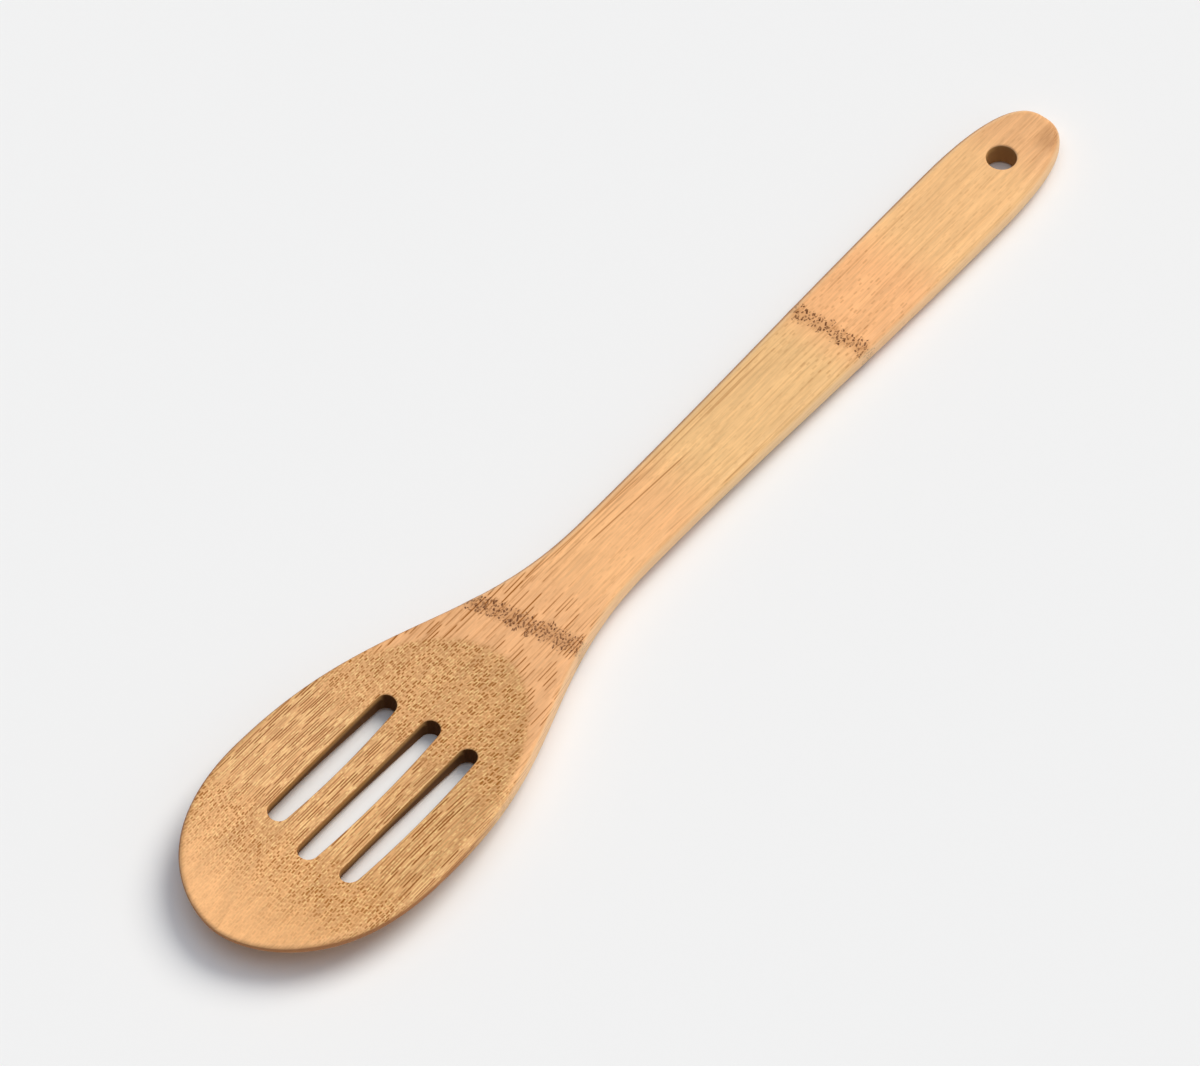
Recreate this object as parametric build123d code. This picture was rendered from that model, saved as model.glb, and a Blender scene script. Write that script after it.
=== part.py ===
"""Bamboo slotted spoon, carved from one piece of culm wall. Millimetres.

The blank is drawn with the tip of the bowl at X 0, the handle along +X and its top face near
Z 0, with the wood below. The finished spoon is then laid down on its belly and handle end,
with the origin under the middle of its box.
"""

import math
import os

from build123d import *

# Plan of the blank, seen from above. A station is a distance from the tip of the bowl.
spoon_length = 300.0
bowl_width = 59.2
bowl_station = 41.5
neck_width = 19.8
neck_station = 138.0
handle_width = 23.5
butt_length = 31.4

# How far each plan curve holds its end directions, as shares of its own run
tip_side_share = 0.30
tip_along_share = 0.795
shoulder_share = 0.465
neck_share = 0.42
handle_share = 0.36
butt_along_share = 0.99
butt_side_share = 0.33

# Side view. The top face is a long shallow hollow curve, and thicknesses are under it.
top_bow = 0.9
handle_thickness = 6.3
rim_thickness = 2.8
belly_rim_thickness = 4.25

# The underside is crowned across by this radius. Its centre line falls away behind the rim at
# these shares of the tip's plan curve, and is lowest at this share of the flank's.
crown_radius = 87.0
rim_follow_shares = (0.0, 0.35, 0.65, 1.0)
belly_share = 0.21
tip_fall_share = 0.26

# Rounding of the outer edges
top_round = 1.45
under_round = 1.05
round_limit_share = 0.52

# Hollow of the bowl
hollow_station = 47.0
hollow_length = 101.0
hollow_width = 55.0
hollow_depth = 5.0

# Slots, left to right as seen from the handle's end towards the tip
slot_width = 5.7
slot_end_width = 4.9
slot_pitch = 11.7
left_slot_length = 42.0
left_slot_station = 53.0
middle_slot_length = 46.8
middle_slot_station = 51.9
right_slot_length = 45.0
right_slot_station = 51.7
slot_round = 0.35

# Hanging hole
hole_radius = 3.6
hole_inset = 17.2
hole_round = 0.5

# How far a cutting tool runs past the wood
overrun = 5.0

# Turns a round tool's seam to the side away from the wood
half_turn = 180


def top_height(station):
    """Height of the top face on the centre line."""
    half_length = spoon_length / 2
    return top_bow * ((station - half_length) / half_length) ** 2


def top_slope(station):
    """Rise of the top face per unit of length."""
    half_length = spoon_length / 2
    return 2 * top_bow * (station - half_length) / half_length**2


def arc_radius(chord, rise):
    """Radius of the arc that rises by rise over a chord."""
    return ((chord / 2) ** 2 + rise**2) / (2 * rise)


def tip_curve():
    """Half of the bowl's front, from the tip to the widest place."""
    bowl_half = bowl_width / 2
    return Bezier(
        (0, 0),
        (0, tip_side_share * bowl_half),
        (bowl_station * (1 - tip_along_share), bowl_half),
        (bowl_station, bowl_half),
    )


def flank_curve():
    """The side from the bowl's widest place to the neck."""
    bowl_half = bowl_width / 2
    neck_half = neck_width / 2
    run = neck_station - bowl_station
    return Bezier(
        (bowl_station, bowl_half),
        (bowl_station + shoulder_share * run, bowl_half),
        (neck_station - neck_share * run, neck_half),
        (neck_station, neck_half),
    )


def plan_outline():
    """The spoon seen from above, as a face."""
    neck_half = neck_width / 2
    handle_half = handle_width / 2
    handle_station = spoon_length - butt_length
    handle_run = handle_station - neck_station
    handle = Bezier(
        (neck_station, neck_half),
        (neck_station + handle_share * handle_run, neck_half),
        (handle_station - handle_share * handle_run, handle_half),
        (handle_station, handle_half),
    )
    butt = Bezier(
        (handle_station, handle_half),
        (handle_station + butt_along_share * butt_length, handle_half),
        (spoon_length, butt_side_share * handle_half),
        (spoon_length, 0),
    )
    left_side = [tip_curve(), flank_curve(), handle, butt]
    right_side = [mirror(curve, Plane.XZ) for curve in left_side]
    return make_face(left_side + right_side)


def under(station, thickness):
    """A point of the underside's centre line."""
    return (station, top_height(station) - thickness)


def under_rim(edge, thickness):
    """The underside's centre line where the crown leaves this thickness at an edge point."""
    crown = crown_radius - math.sqrt(crown_radius**2 - edge.Y**2)
    return under(edge.X, thickness + crown)


def belly_point():
    """The lowest point of the belly."""
    return under_rim(flank_curve() @ belly_share, belly_rim_thickness)


def cut_depth():
    """How far below the middle of the top face a cutting tool reaches."""
    return overrun - belly_point()[1]


def side_slab():
    """Everything under the curved top face, as wide as the bowl needs."""
    depth = cut_depth()
    start = (-overrun, top_height(-overrun))
    middle = (spoon_length / 2, top_height(spoon_length / 2))
    end = (spoon_length + overrun, top_height(spoon_length + overrun))
    outline = Curve() + [
        ThreePointArc(start, middle, end),
        Line(end, (spoon_length + overrun, -depth)),
        Line((spoon_length + overrun, -depth), (-overrun, -depth)),
        Line((-overrun, -depth), start),
    ]
    return extrude(Plane.XZ * make_face(outline), bowl_width, both=True)


def underside():
    """The belly and the handle's back, crowned across the spoon about one long axis."""
    axis_height = belly_point()[1] + crown_radius
    beyond = spoon_length + overrun
    rim = [under_rim(tip_curve() @ share, rim_thickness) for share in rim_follow_shares]
    before_tip = (-overrun, rim[0][1] + tip_fall_share * overrun)
    end_point = under(beyond, handle_thickness)
    points = [
        before_tip,
        *rim,
        belly_point(),
        under(neck_station, handle_thickness),
        under((neck_station + spoon_length) / 2, handle_thickness),
        end_point,
    ]
    belly = Edge.make_spline(
        [Vector(*point) for point in points],
        tangents=[Vector(1, -tip_fall_share), Vector(1, top_slope(beyond))],
        parameters=[point[0] for point in points],
        scale=False,
    )
    outline = Curve() + [
        belly,
        Line(end_point, (beyond, axis_height)),
        Line((beyond, axis_height), (-overrun, axis_height)),
        Line((-overrun, axis_height), before_tip),
    ]
    axis = Axis((0, 0, axis_height), (1, 0, 0))
    return revolve(Plane.XZ * make_face(outline), axis).rotate(axis, half_turn)


def hollow():
    """A lemon-shaped cutter whose lowest cap carves the bowl."""
    lengthwise_radius = arc_radius(hollow_length, hollow_depth)
    crosswise_radius = arc_radius(hollow_width, hollow_depth)
    axis_drop = lengthwise_radius - crosswise_radius
    half_chord = math.sqrt(lengthwise_radius**2 - axis_drop**2)
    axis_height = crosswise_radius - hollow_depth
    start = (-half_chord, axis_height)
    end = (half_chord, axis_height)
    outline = Curve() + [ThreePointArc(start, (0, -hollow_depth), end), Line(end, start)]
    axis = Axis((0, 0, axis_height), (1, 0, 0))
    lemon = revolve(Plane.XZ * make_face(outline), axis).rotate(axis, half_turn)
    tilt = -math.degrees(math.atan(top_slope(hollow_station)))
    return Pos(hollow_station, 0, top_height(hollow_station)) * Rot(0, tilt, 0) * lemon


def slot(station, side, length):
    """A slot a touch wider at its middle, with round ends that run on smoothly, cut through."""
    half_width = slot_width / 2
    end_radius = slot_end_width / 2
    end_centre = length / 2 - end_radius
    bulge = slot_width - slot_end_width
    side_radius = (end_centre**2 + half_width**2 - end_radius**2) / bulge
    centre_gap = side_radius - end_radius
    meet_x = side_radius * end_centre / centre_gap
    meet_y = (side_radius - half_width) * end_radius / centre_gap
    outline = Curve() + [
        ThreePointArc((-meet_x, meet_y), (0, half_width), (meet_x, meet_y)),
        ThreePointArc((meet_x, meet_y), (length / 2, 0), (meet_x, -meet_y)),
        ThreePointArc((meet_x, -meet_y), (0, -half_width), (-meet_x, -meet_y)),
        ThreePointArc((-meet_x, -meet_y), (-length / 2, 0), (-meet_x, meet_y)),
    ]
    depth = cut_depth()
    return Pos(station, side, -depth) * extrude(make_face(outline), depth + top_bow + overrun)


def rounded_blank():
    """The spoon before it is hollowed, with its outer edges rounded over and under."""
    depth = cut_depth()
    plan = Pos(0, 0, -depth) * extrude(plan_outline(), depth + top_bow + overrun)
    blank = plan & side_slab() & underside()
    top_face = blank.faces().sort_by(Axis.Z)[-1]
    blank = fillet(top_face.edges(), min(top_round, round_limit_share * rim_thickness))
    wall_edges = blank.faces().filter_by(GeomType.EXTRUSION).edges()
    belly_faces = blank.faces().filter_by(GeomType.REVOLUTION)
    under_edges = [edge for edge in belly_faces.edges() if edge in wall_edges]
    return fillet(under_edges, min(under_round, (1 - round_limit_share) * rim_thickness))


def cut_edges(solid, station, side, reach):
    """The edges that one cut leaves in the top face and in the underside."""
    near = [
        edge
        for edge in solid.edges()
        if abs(edge.center().X - station) < reach and abs(edge.center().Y - side) < slot_pitch / 2
    ]
    return [edge for edge in near if edge.geom_type != GeomType.LINE]


def lay_down(spoon):
    """Rests the spoon on its belly and handle end, with the origin under its middle."""
    belly = belly_point()
    heel = under(spoon_length - under_round, handle_thickness)
    tilt = math.degrees(math.atan((heel[1] - belly[1]) / (heel[0] - belly[0])))
    lying = Rot(0, tilt, 0) * spoon
    box = lying.bounding_box()
    return Pos(-box.center().X, -box.center().Y, -box.min.Z) * lying


# Carve the bowl
spoon = rounded_blank() - hollow()

# Cut the three slots and take the sharpness off their edges
slots = [
    (left_slot_station, slot_pitch, left_slot_length),
    (middle_slot_station, 0, middle_slot_length),
    (right_slot_station, -slot_pitch, right_slot_length),
]
spoon -= [slot(*slot_place) for slot_place in slots]
slot_edges = []
for station, side, length in slots:
    slot_edges += cut_edges(spoon, station, side, length / 2 + overrun)
spoon = fillet(slot_edges, slot_round)

# Drill the hanging hole
hole_station = spoon_length - hole_inset
hole_depth = 2 * (handle_thickness + overrun)
spoon -= Pos(hole_station, 0, 0) * Cylinder(hole_radius, hole_depth)
spoon = fillet(cut_edges(spoon, hole_station, 0, hole_radius + overrun), hole_round)

spoon = lay_down(spoon)

os.makedirs("parts", exist_ok=True)
export_step(spoon, "parts/spoon.step")
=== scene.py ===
"""Bamboo slotted spoon, dressed for a close look: carved form, sanded bamboo and a soft studio.

The spoon is drawn in its own plan, in millimetres: station runs from the tip of the bowl along
the handle, side is positive to the left as seen from the handle's end, and height is above the
flat top face. One rigid move then lays it down on its belly and heel in the frame's metres.
"""

from __future__ import annotations

import logging
import math
from dataclasses import dataclass

import bmesh
import bpy
import numpy as np
from mathutils import Matrix, Vector
from mathutils.geometry import delaunay_2d_cdt
from mathutils.kdtree import KDTree

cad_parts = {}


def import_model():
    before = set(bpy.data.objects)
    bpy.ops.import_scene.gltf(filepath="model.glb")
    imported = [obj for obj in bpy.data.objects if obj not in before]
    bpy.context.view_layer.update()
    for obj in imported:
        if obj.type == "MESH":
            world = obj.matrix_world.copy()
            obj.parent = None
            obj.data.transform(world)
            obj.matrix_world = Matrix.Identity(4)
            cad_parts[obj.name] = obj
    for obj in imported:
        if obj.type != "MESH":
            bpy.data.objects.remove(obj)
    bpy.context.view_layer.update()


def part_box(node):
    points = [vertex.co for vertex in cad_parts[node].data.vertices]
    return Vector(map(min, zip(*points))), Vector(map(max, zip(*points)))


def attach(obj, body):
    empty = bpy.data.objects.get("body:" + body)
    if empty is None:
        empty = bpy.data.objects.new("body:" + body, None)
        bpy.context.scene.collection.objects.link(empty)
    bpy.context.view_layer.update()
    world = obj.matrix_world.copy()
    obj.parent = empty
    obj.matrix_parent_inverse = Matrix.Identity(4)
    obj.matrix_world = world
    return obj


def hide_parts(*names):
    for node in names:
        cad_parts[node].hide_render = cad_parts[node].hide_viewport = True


MM = 0.001
Socket = bpy.types.NodeSocket

log = logging.getLogger("spoon")


def linear(hex_colour: str) -> tuple[float, float, float, float]:
    """Turns an sRGB hex colour into the linear values that shaders use.

    Args:
        hex_colour: Six hex digits.

    Returns:
        Red, green, blue and an alpha of one.
    """
    parts = [int(hex_colour[i : i + 2], 16) / 255 for i in (0, 2, 4)]
    red, green, blue = (
        c / 12.92 if c <= 0.04045 else ((c + 0.055) / 1.055) ** 2.4 for c in parts
    )
    return (red, green, blue, 1.0)


def add_object(name: str, data: bpy.types.ID) -> bpy.types.Object:
    """Adds an object to the scene.

    Args:
        name: Its name.
        data: Its mesh, camera or light.

    Returns:
        The new object.
    """
    thing = bpy.data.objects.new(name, data)
    bpy.context.scene.collection.objects.link(thing)
    return thing


def smooth_step(low: float, high: float, value: np.ndarray) -> np.ndarray:
    """Eases from 0 at low to 1 at high.

    Args:
        low: Where the step starts.
        high: Where the step ends.
        value: The places asked for.

    Returns:
        A share from 0 to 1 for each place.
    """
    share = np.clip((value - low) / (high - low), 0.0, 1.0)
    return share * share * (3.0 - 2.0 * share)


def bezier(*points: tuple[float, float], steps: int = 400) -> np.ndarray:
    """Samples one cubic curve.

    Args:
        points: Its four control points.
        steps: How many points come back.

    Returns:
        An array of plan points from the first control point to the last.
    """
    start, lead, trail, end = (np.array(p, float) for p in points)
    t = np.linspace(0.0, 1.0, steps)[:, None]
    s = 1.0 - t
    return s**3 * start + 3 * s**2 * t * lead + 3 * s * t**2 * trail + t**3 * end


def level_curve(
    start: tuple[float, float], end: tuple[float, float], lead: float, trail: float
) -> np.ndarray:
    """Samples the curve between two places where the outline runs straight along the spoon.

    Args:
        start: The first plan point.
        end: The last plan point.
        lead: The share of the run over which the curve holds its first direction.
        trail: The share over which it holds its last.

    Returns:
        The curve's points.
    """
    run = end[0] - start[0]
    return bezier(start, (start[0] + lead * run, start[1]), (end[0] - trail * run, end[1]), end)


def along(curve: np.ndarray, shares: np.ndarray) -> np.ndarray:
    """Finds points at shares of a sampled curve's own length.

    Args:
        curve: The curve's points.
        shares: Shares from 0 to 1.

    Returns:
        One plan point for each share.
    """
    steps = np.linalg.norm(np.diff(curve, axis=0), axis=1)
    length = np.concatenate([[0.0], np.cumsum(steps)])
    places = np.asarray(shares) * length[-1]
    return np.column_stack([np.interp(places, length, curve[:, i]) for i in (0, 1)])


def even(curve: np.ndarray, spacing: float) -> np.ndarray:
    """Spaces points evenly along a sampled curve.

    Args:
        curve: The curve's points.
        spacing: About how far apart the new points are.

    Returns:
        Plan points from the curve's first point to its last.
    """
    length = np.linalg.norm(np.diff(curve, axis=0), axis=1).sum()
    return along(curve, np.linspace(0.0, 1.0, int(round(length / spacing)) + 1))


def outward_normals(loop: np.ndarray) -> np.ndarray:
    """Works out the outward directions of a closed anticlockwise loop.

    Args:
        loop: The loop's plan points.

    Returns:
        One unit direction for each point.
    """
    run = np.roll(loop, -1, axis=0) - np.roll(loop, 1, axis=0)
    run /= np.linalg.norm(run, axis=1)[:, None]
    return np.column_stack([run[:, 1], -run[:, 0]])


@dataclass(frozen=True)
class Plan:
    """The spoon's outline seen from above.

    Each curve of a side holds its end directions over the given shares of its own run.
    """

    length: float = 300.0
    bowl_width: float = 59.2
    bowl_station: float = 41.5
    neck_width: float = 19.8
    neck_station: float = 138.0
    handle_width: float = 23.5
    butt_length: float = 31.4
    tip_side_share: float = 0.30
    tip_along_share: float = 0.795
    shoulder_share: float = 0.465
    neck_share: float = 0.42
    handle_share: float = 0.36
    butt_along_share: float = 0.99
    butt_side_share: float = 0.33

    def tip(self) -> np.ndarray:
        """Draws half of the bowl's front, from the tip to the widest place.

        Returns:
            The curve's points on the left side.
        """
        half, station = self.bowl_width / 2, self.bowl_station
        return bezier(
            (0, 0),
            (0, self.tip_side_share * half),
            (station * (1 - self.tip_along_share), half),
            (station, half),
        )

    def flank(self) -> np.ndarray:
        """Draws the left side from the bowl's widest place to the neck.

        Returns:
            The curve's points.
        """
        bowl = (self.bowl_station, self.bowl_width / 2)
        neck = (self.neck_station, self.neck_width / 2)
        return level_curve(bowl, neck, self.shoulder_share, self.neck_share)

    def grip(self) -> np.ndarray:
        """Draws the left side from the neck to the handle's end.

        Returns:
            The curves' points.
        """
        neck = (self.neck_station, self.neck_width / 2)
        station, half = self.length - self.butt_length, self.handle_width / 2
        side = level_curve(neck, (station, half), self.handle_share, self.handle_share)
        butt = bezier(
            (station, half),
            (station + self.butt_along_share * self.butt_length, half),
            (self.length, self.butt_side_share * half),
            (self.length, 0),
        )
        return np.vstack([side, butt[1:]])

    def loop(self, spacing: float) -> np.ndarray:
        """Draws the whole outline with evenly spaced points.

        Args:
            spacing: About how far apart the points are.

        Returns:
            A closed anticlockwise loop that starts at the tip.
        """
        left = even(np.vstack([self.tip(), self.flank()[1:], self.grip()[1:]]), spacing)
        right = left * np.array([1.0, -1.0])
        return np.vstack([right, left[-2:0:-1]])


@dataclass(frozen=True)
class KnotLine:
    """Where one bamboo knot crosses the spoon."""

    station: float
    slant: float
    half_width: float
    crowding: float


KNOT_LINES = (
    KnotLine(station=107.4, slant=-0.18, half_width=2.2, crowding=0.92),
    KnotLine(station=216.8, slant=-0.05, half_width=1.8, crowding=0.72),
)


@dataclass(frozen=True)
class Carving:
    """Heights of the faces over the plan, and how the edges are rounded."""

    plan: Plan = Plan()
    top_bow: float = 0.9
    handle_thickness: float = 6.3
    rim_thickness: float = 2.8
    belly_rim_thickness: float = 4.25
    crown_radius: float = 87.0
    rim_shares: tuple[float, ...] = (0.0, 0.35, 0.65, 1.0)
    belly_share: float = 0.21
    tip_fall_share: float = 0.26
    hollow_station: float = 47.0
    hollow_length: float = 101.0
    hollow_width: float = 55.0
    hollow_depth: float = 5.0
    hollow_blend: float = 0.28
    bowl_top_round: float = 1.45
    bowl_under_round: float = 1.15
    grip_top_round: float = 2.5
    grip_under_round: float = 2.2
    knot_lift: float = 0.13
    under_lift_share: float = 0.6
    under_lift_change: tuple[float, float] = (90.0, 112.0)
    hollow_reach_share: float = 0.6
    overrun: float = 5.0
    heel_inset: float = 1.05

    def bow(self, station: np.ndarray) -> np.ndarray:
        """Gives the flat top's height.

        Args:
            station: Distances from the tip.

        Returns:
            Heights on the long shallow curve of the top face.
        """
        half = self.plan.length / 2
        return self.top_bow * ((station - half) / half) ** 2

    def hollow(self, station: np.ndarray, side: np.ndarray) -> np.ndarray:
        """Gives the height of the cutter's surface that hollows the bowl.

        Args:
            station: Distances from the tip.
            side: Distances from the centre line.

        Returns:
            Heights of the hollow, which rise above the top face outside it.
        """
        depth = self.hollow_depth
        long_radius = ((self.hollow_length / 2) ** 2 + depth**2) / (2 * depth)
        cross_radius = ((self.hollow_width / 2) ** 2 + depth**2) / (2 * depth)
        half = self.plan.length / 2
        slope = 2 * self.top_bow * (self.hollow_station - half) / half**2
        run = station - self.hollow_station
        floor = -depth + long_radius - np.sqrt(long_radius**2 - run**2)
        axis = cross_radius - depth
        reach = np.maximum((axis - floor) ** 2 - side**2, 0.0)
        return self.bow(self.hollow_station) + slope * run + axis - np.sqrt(reach)

    def knot(self, station: np.ndarray, side: np.ndarray) -> np.ndarray:
        """Gives the slight swell that sanding leaves on the harder knots.

        Args:
            station: Distances from the tip.
            side: Distances from the centre line.

        Returns:
            A share from 0 to 1.
        """
        swell = np.zeros_like(station)
        for line in KNOT_LINES:
            offset = station - line.station - line.slant * side
            swell += np.exp(-((offset / line.half_width) ** 2))
        return swell

    def top(self, station: np.ndarray, side: np.ndarray) -> np.ndarray:
        """Gives the height of the finished top face.

        Args:
            station: Distances from the tip.
            side: Distances from the centre line.

        Returns:
            Heights, with the hollow's brim eased into the flat.
        """
        flat = self.bow(station) + self.knot_lift * self.knot(station, side)
        end = self.hollow_station + self.hollow_reach_share * self.hollow_length
        cut = self.hollow(np.minimum(station, end), side)
        gap = np.maximum(self.hollow_blend - np.abs(flat - cut), 0.0)
        return np.minimum(flat, cut) - gap**2 / (4 * self.hollow_blend)

    def spine(self) -> tuple[np.ndarray, np.ndarray]:
        """Lists the points that the underside's centre line runs through.

        Returns:
            Their stations and their heights.
        """
        rim = along(self.plan.tip(), np.array(self.rim_shares))
        edge = np.vstack([rim, along(self.plan.flank(), np.array([self.belly_share]))])
        thickness = np.full(len(edge), self.rim_thickness)
        thickness[-1] = self.belly_rim_thickness
        crown = self.crown_radius - np.sqrt(self.crown_radius**2 - edge[:, 1] ** 2)
        neck, end = self.plan.neck_station, self.plan.length
        grip = np.array([neck, (neck + end) / 2, end + self.overrun])
        stations = np.concatenate([[-self.overrun], edge[:, 0], grip])
        under_edge = self.bow(edge[:, 0]) - thickness - crown
        before = under_edge[:1] + self.overrun * self.tip_fall_share
        grip_heights = self.bow(grip) - self.handle_thickness
        return stations, np.concatenate([before, under_edge, grip_heights])

    def belly(self) -> tuple[float, float]:
        """Finds the lowest point of the belly, which follows the rim on the spine.

        Returns:
            Its station and its height.
        """
        stations, heights = self.spine()
        number = 1 + len(self.rim_shares)
        return stations[number], heights[number]

    def centre_line(self, station: np.ndarray) -> np.ndarray:
        """Follows the underside's centre line with one smooth cubic spline.

        Args:
            station: Distances from the tip.

        Returns:
            Heights of the lowest line of the underside.
        """
        x, z = self.spine()
        half = self.plan.length / 2
        ends = (-self.tip_fall_share, 2 * self.top_bow * (x[-1] - half) / half**2)
        step = np.diff(x)
        rise = np.diff(z) / step
        count = len(x)
        system, right = np.zeros((count, count)), np.zeros(count)
        system[0, :2] = 2 * step[0], step[0]
        right[0] = 6 * (rise[0] - ends[0])
        system[-1, -2:] = step[-1], 2 * step[-1]
        right[-1] = 6 * (ends[1] - rise[-1])
        for i in range(1, count - 1):
            system[i, i - 1 : i + 2] = step[i - 1], 2 * (step[i - 1] + step[i]), step[i]
            right[i] = 6 * (rise[i] - rise[i - 1])
        bend = np.linalg.solve(system, right)
        k = np.clip(np.searchsorted(x, station) - 1, 0, count - 2)
        run, left = station - x[k], step[k]
        slope = rise[k] - left * (2 * bend[k] + bend[k + 1]) / 6
        cubic = (bend[k + 1] - bend[k]) / (6 * left)
        return z[k] + slope * run + bend[k] / 2 * run**2 + cubic * run**3

    def under(self, station: np.ndarray, side: np.ndarray) -> np.ndarray:
        """Gives the height of the underside.

        Args:
            station: Distances from the tip.
            side: Distances from the centre line.

        Returns:
            Heights, crowned across the spoon.
        """
        axis = self.belly()[1] + self.crown_radius
        reach = (axis - self.centre_line(station)) ** 2 - side**2
        lift = self.under_lift_share * self.knot_lift * self.knot(station, side)
        return axis - np.sqrt(reach) - lift * smooth_step(*self.under_lift_change, station)

    def tilt(self) -> float:
        """Works out how far the spoon turns to rest on its belly and heel.

        Returns:
            The turn about the side axis, in radians.
        """
        station, height = self.belly()
        heel = self.plan.length - self.heel_inset
        rise = self.bow(heel) - self.handle_thickness - height
        return math.atan(rise / (heel - station))


@dataclass(frozen=True)
class Slot:
    """A draining slot, a touch wider at its middle, with smooth round ends."""

    station: float
    side: float
    length: float
    width: float = 5.7
    end_width: float = 4.9
    soft_edge: float = 0.4
    side_points: int = 60
    nose_points: int = 40

    def loop(self, spacing: float) -> np.ndarray:
        """Draws the slot's outline.

        Args:
            spacing: About how far apart the points are.

        Returns:
            A closed anticlockwise loop.
        """
        half, end = self.width / 2, self.end_width / 2
        centre = self.length / 2 - end
        radius = (centre**2 + half**2 - end**2) / (self.width - self.end_width)
        gap = radius - end
        meet = radius * centre / gap
        side_x = np.linspace(-meet, meet, self.side_points)
        side_y = np.sqrt(radius**2 - side_x**2) - radius + half
        angle = math.atan2((radius - half) * end / gap, meet - centre)
        turn = np.linspace(-angle, angle, self.nose_points)
        nose = np.column_stack([centre + end * np.cos(turn), end * np.sin(turn)])
        top = np.column_stack([side_x[::-1], side_y[::-1]])
        ring = np.vstack([nose, top[1:-1], -nose, -top[1:-1], nose[:1]])
        return even(ring, spacing)[:-1] + np.array([self.station, self.side])


@dataclass(frozen=True)
class HangingHole:
    """The drilled hole near the handle's end."""

    station: float = 282.8
    side: float = 0.0
    length: float = 7.2
    width: float = 7.2
    soft_edge: float = 0.5

    def loop(self, spacing: float) -> np.ndarray:
        """Draws the hole's outline.

        Args:
            spacing: About how far apart the points are.

        Returns:
            A closed anticlockwise loop.
        """
        count = int(round(math.pi * self.width / spacing))
        turn = np.linspace(0.0, 2 * math.pi, count, endpoint=False)
        ring = self.width / 2 * np.column_stack([np.cos(turn), np.sin(turn)])
        return ring + np.array([self.station, self.side])


class Skin:
    """Gathers a closed surface from rings and filled areas."""

    def __init__(self) -> None:
        """Starts an empty surface."""
        self.points: list[np.ndarray] = []
        self.faces: list[tuple[int, ...]] = []
        self.count = 0

    def ring(self, plan: np.ndarray, height: np.ndarray) -> np.ndarray:
        """Adds points.

        Args:
            plan: Plan points.
            height: Their heights.

        Returns:
            The numbers that the points got.
        """
        self.points.append(np.column_stack([plan, height]))
        first = self.count
        self.count += len(plan)
        return np.arange(first, self.count)

    def bridge(self, start: np.ndarray, end: np.ndarray, flip: bool) -> None:
        """Joins two rings of equal count with a strip of quads.

        Args:
            start: The first ring's point numbers.
            end: The second ring's point numbers.
            flip: Whether the wood lies outside the rings.
        """
        ahead, beyond = np.roll(start, -1), np.roll(end, -1)
        strip = (start, ahead, beyond, end) if flip else (start, end, beyond, ahead)
        self.faces.extend(zip(*(part.tolist() for part in strip)))


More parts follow.
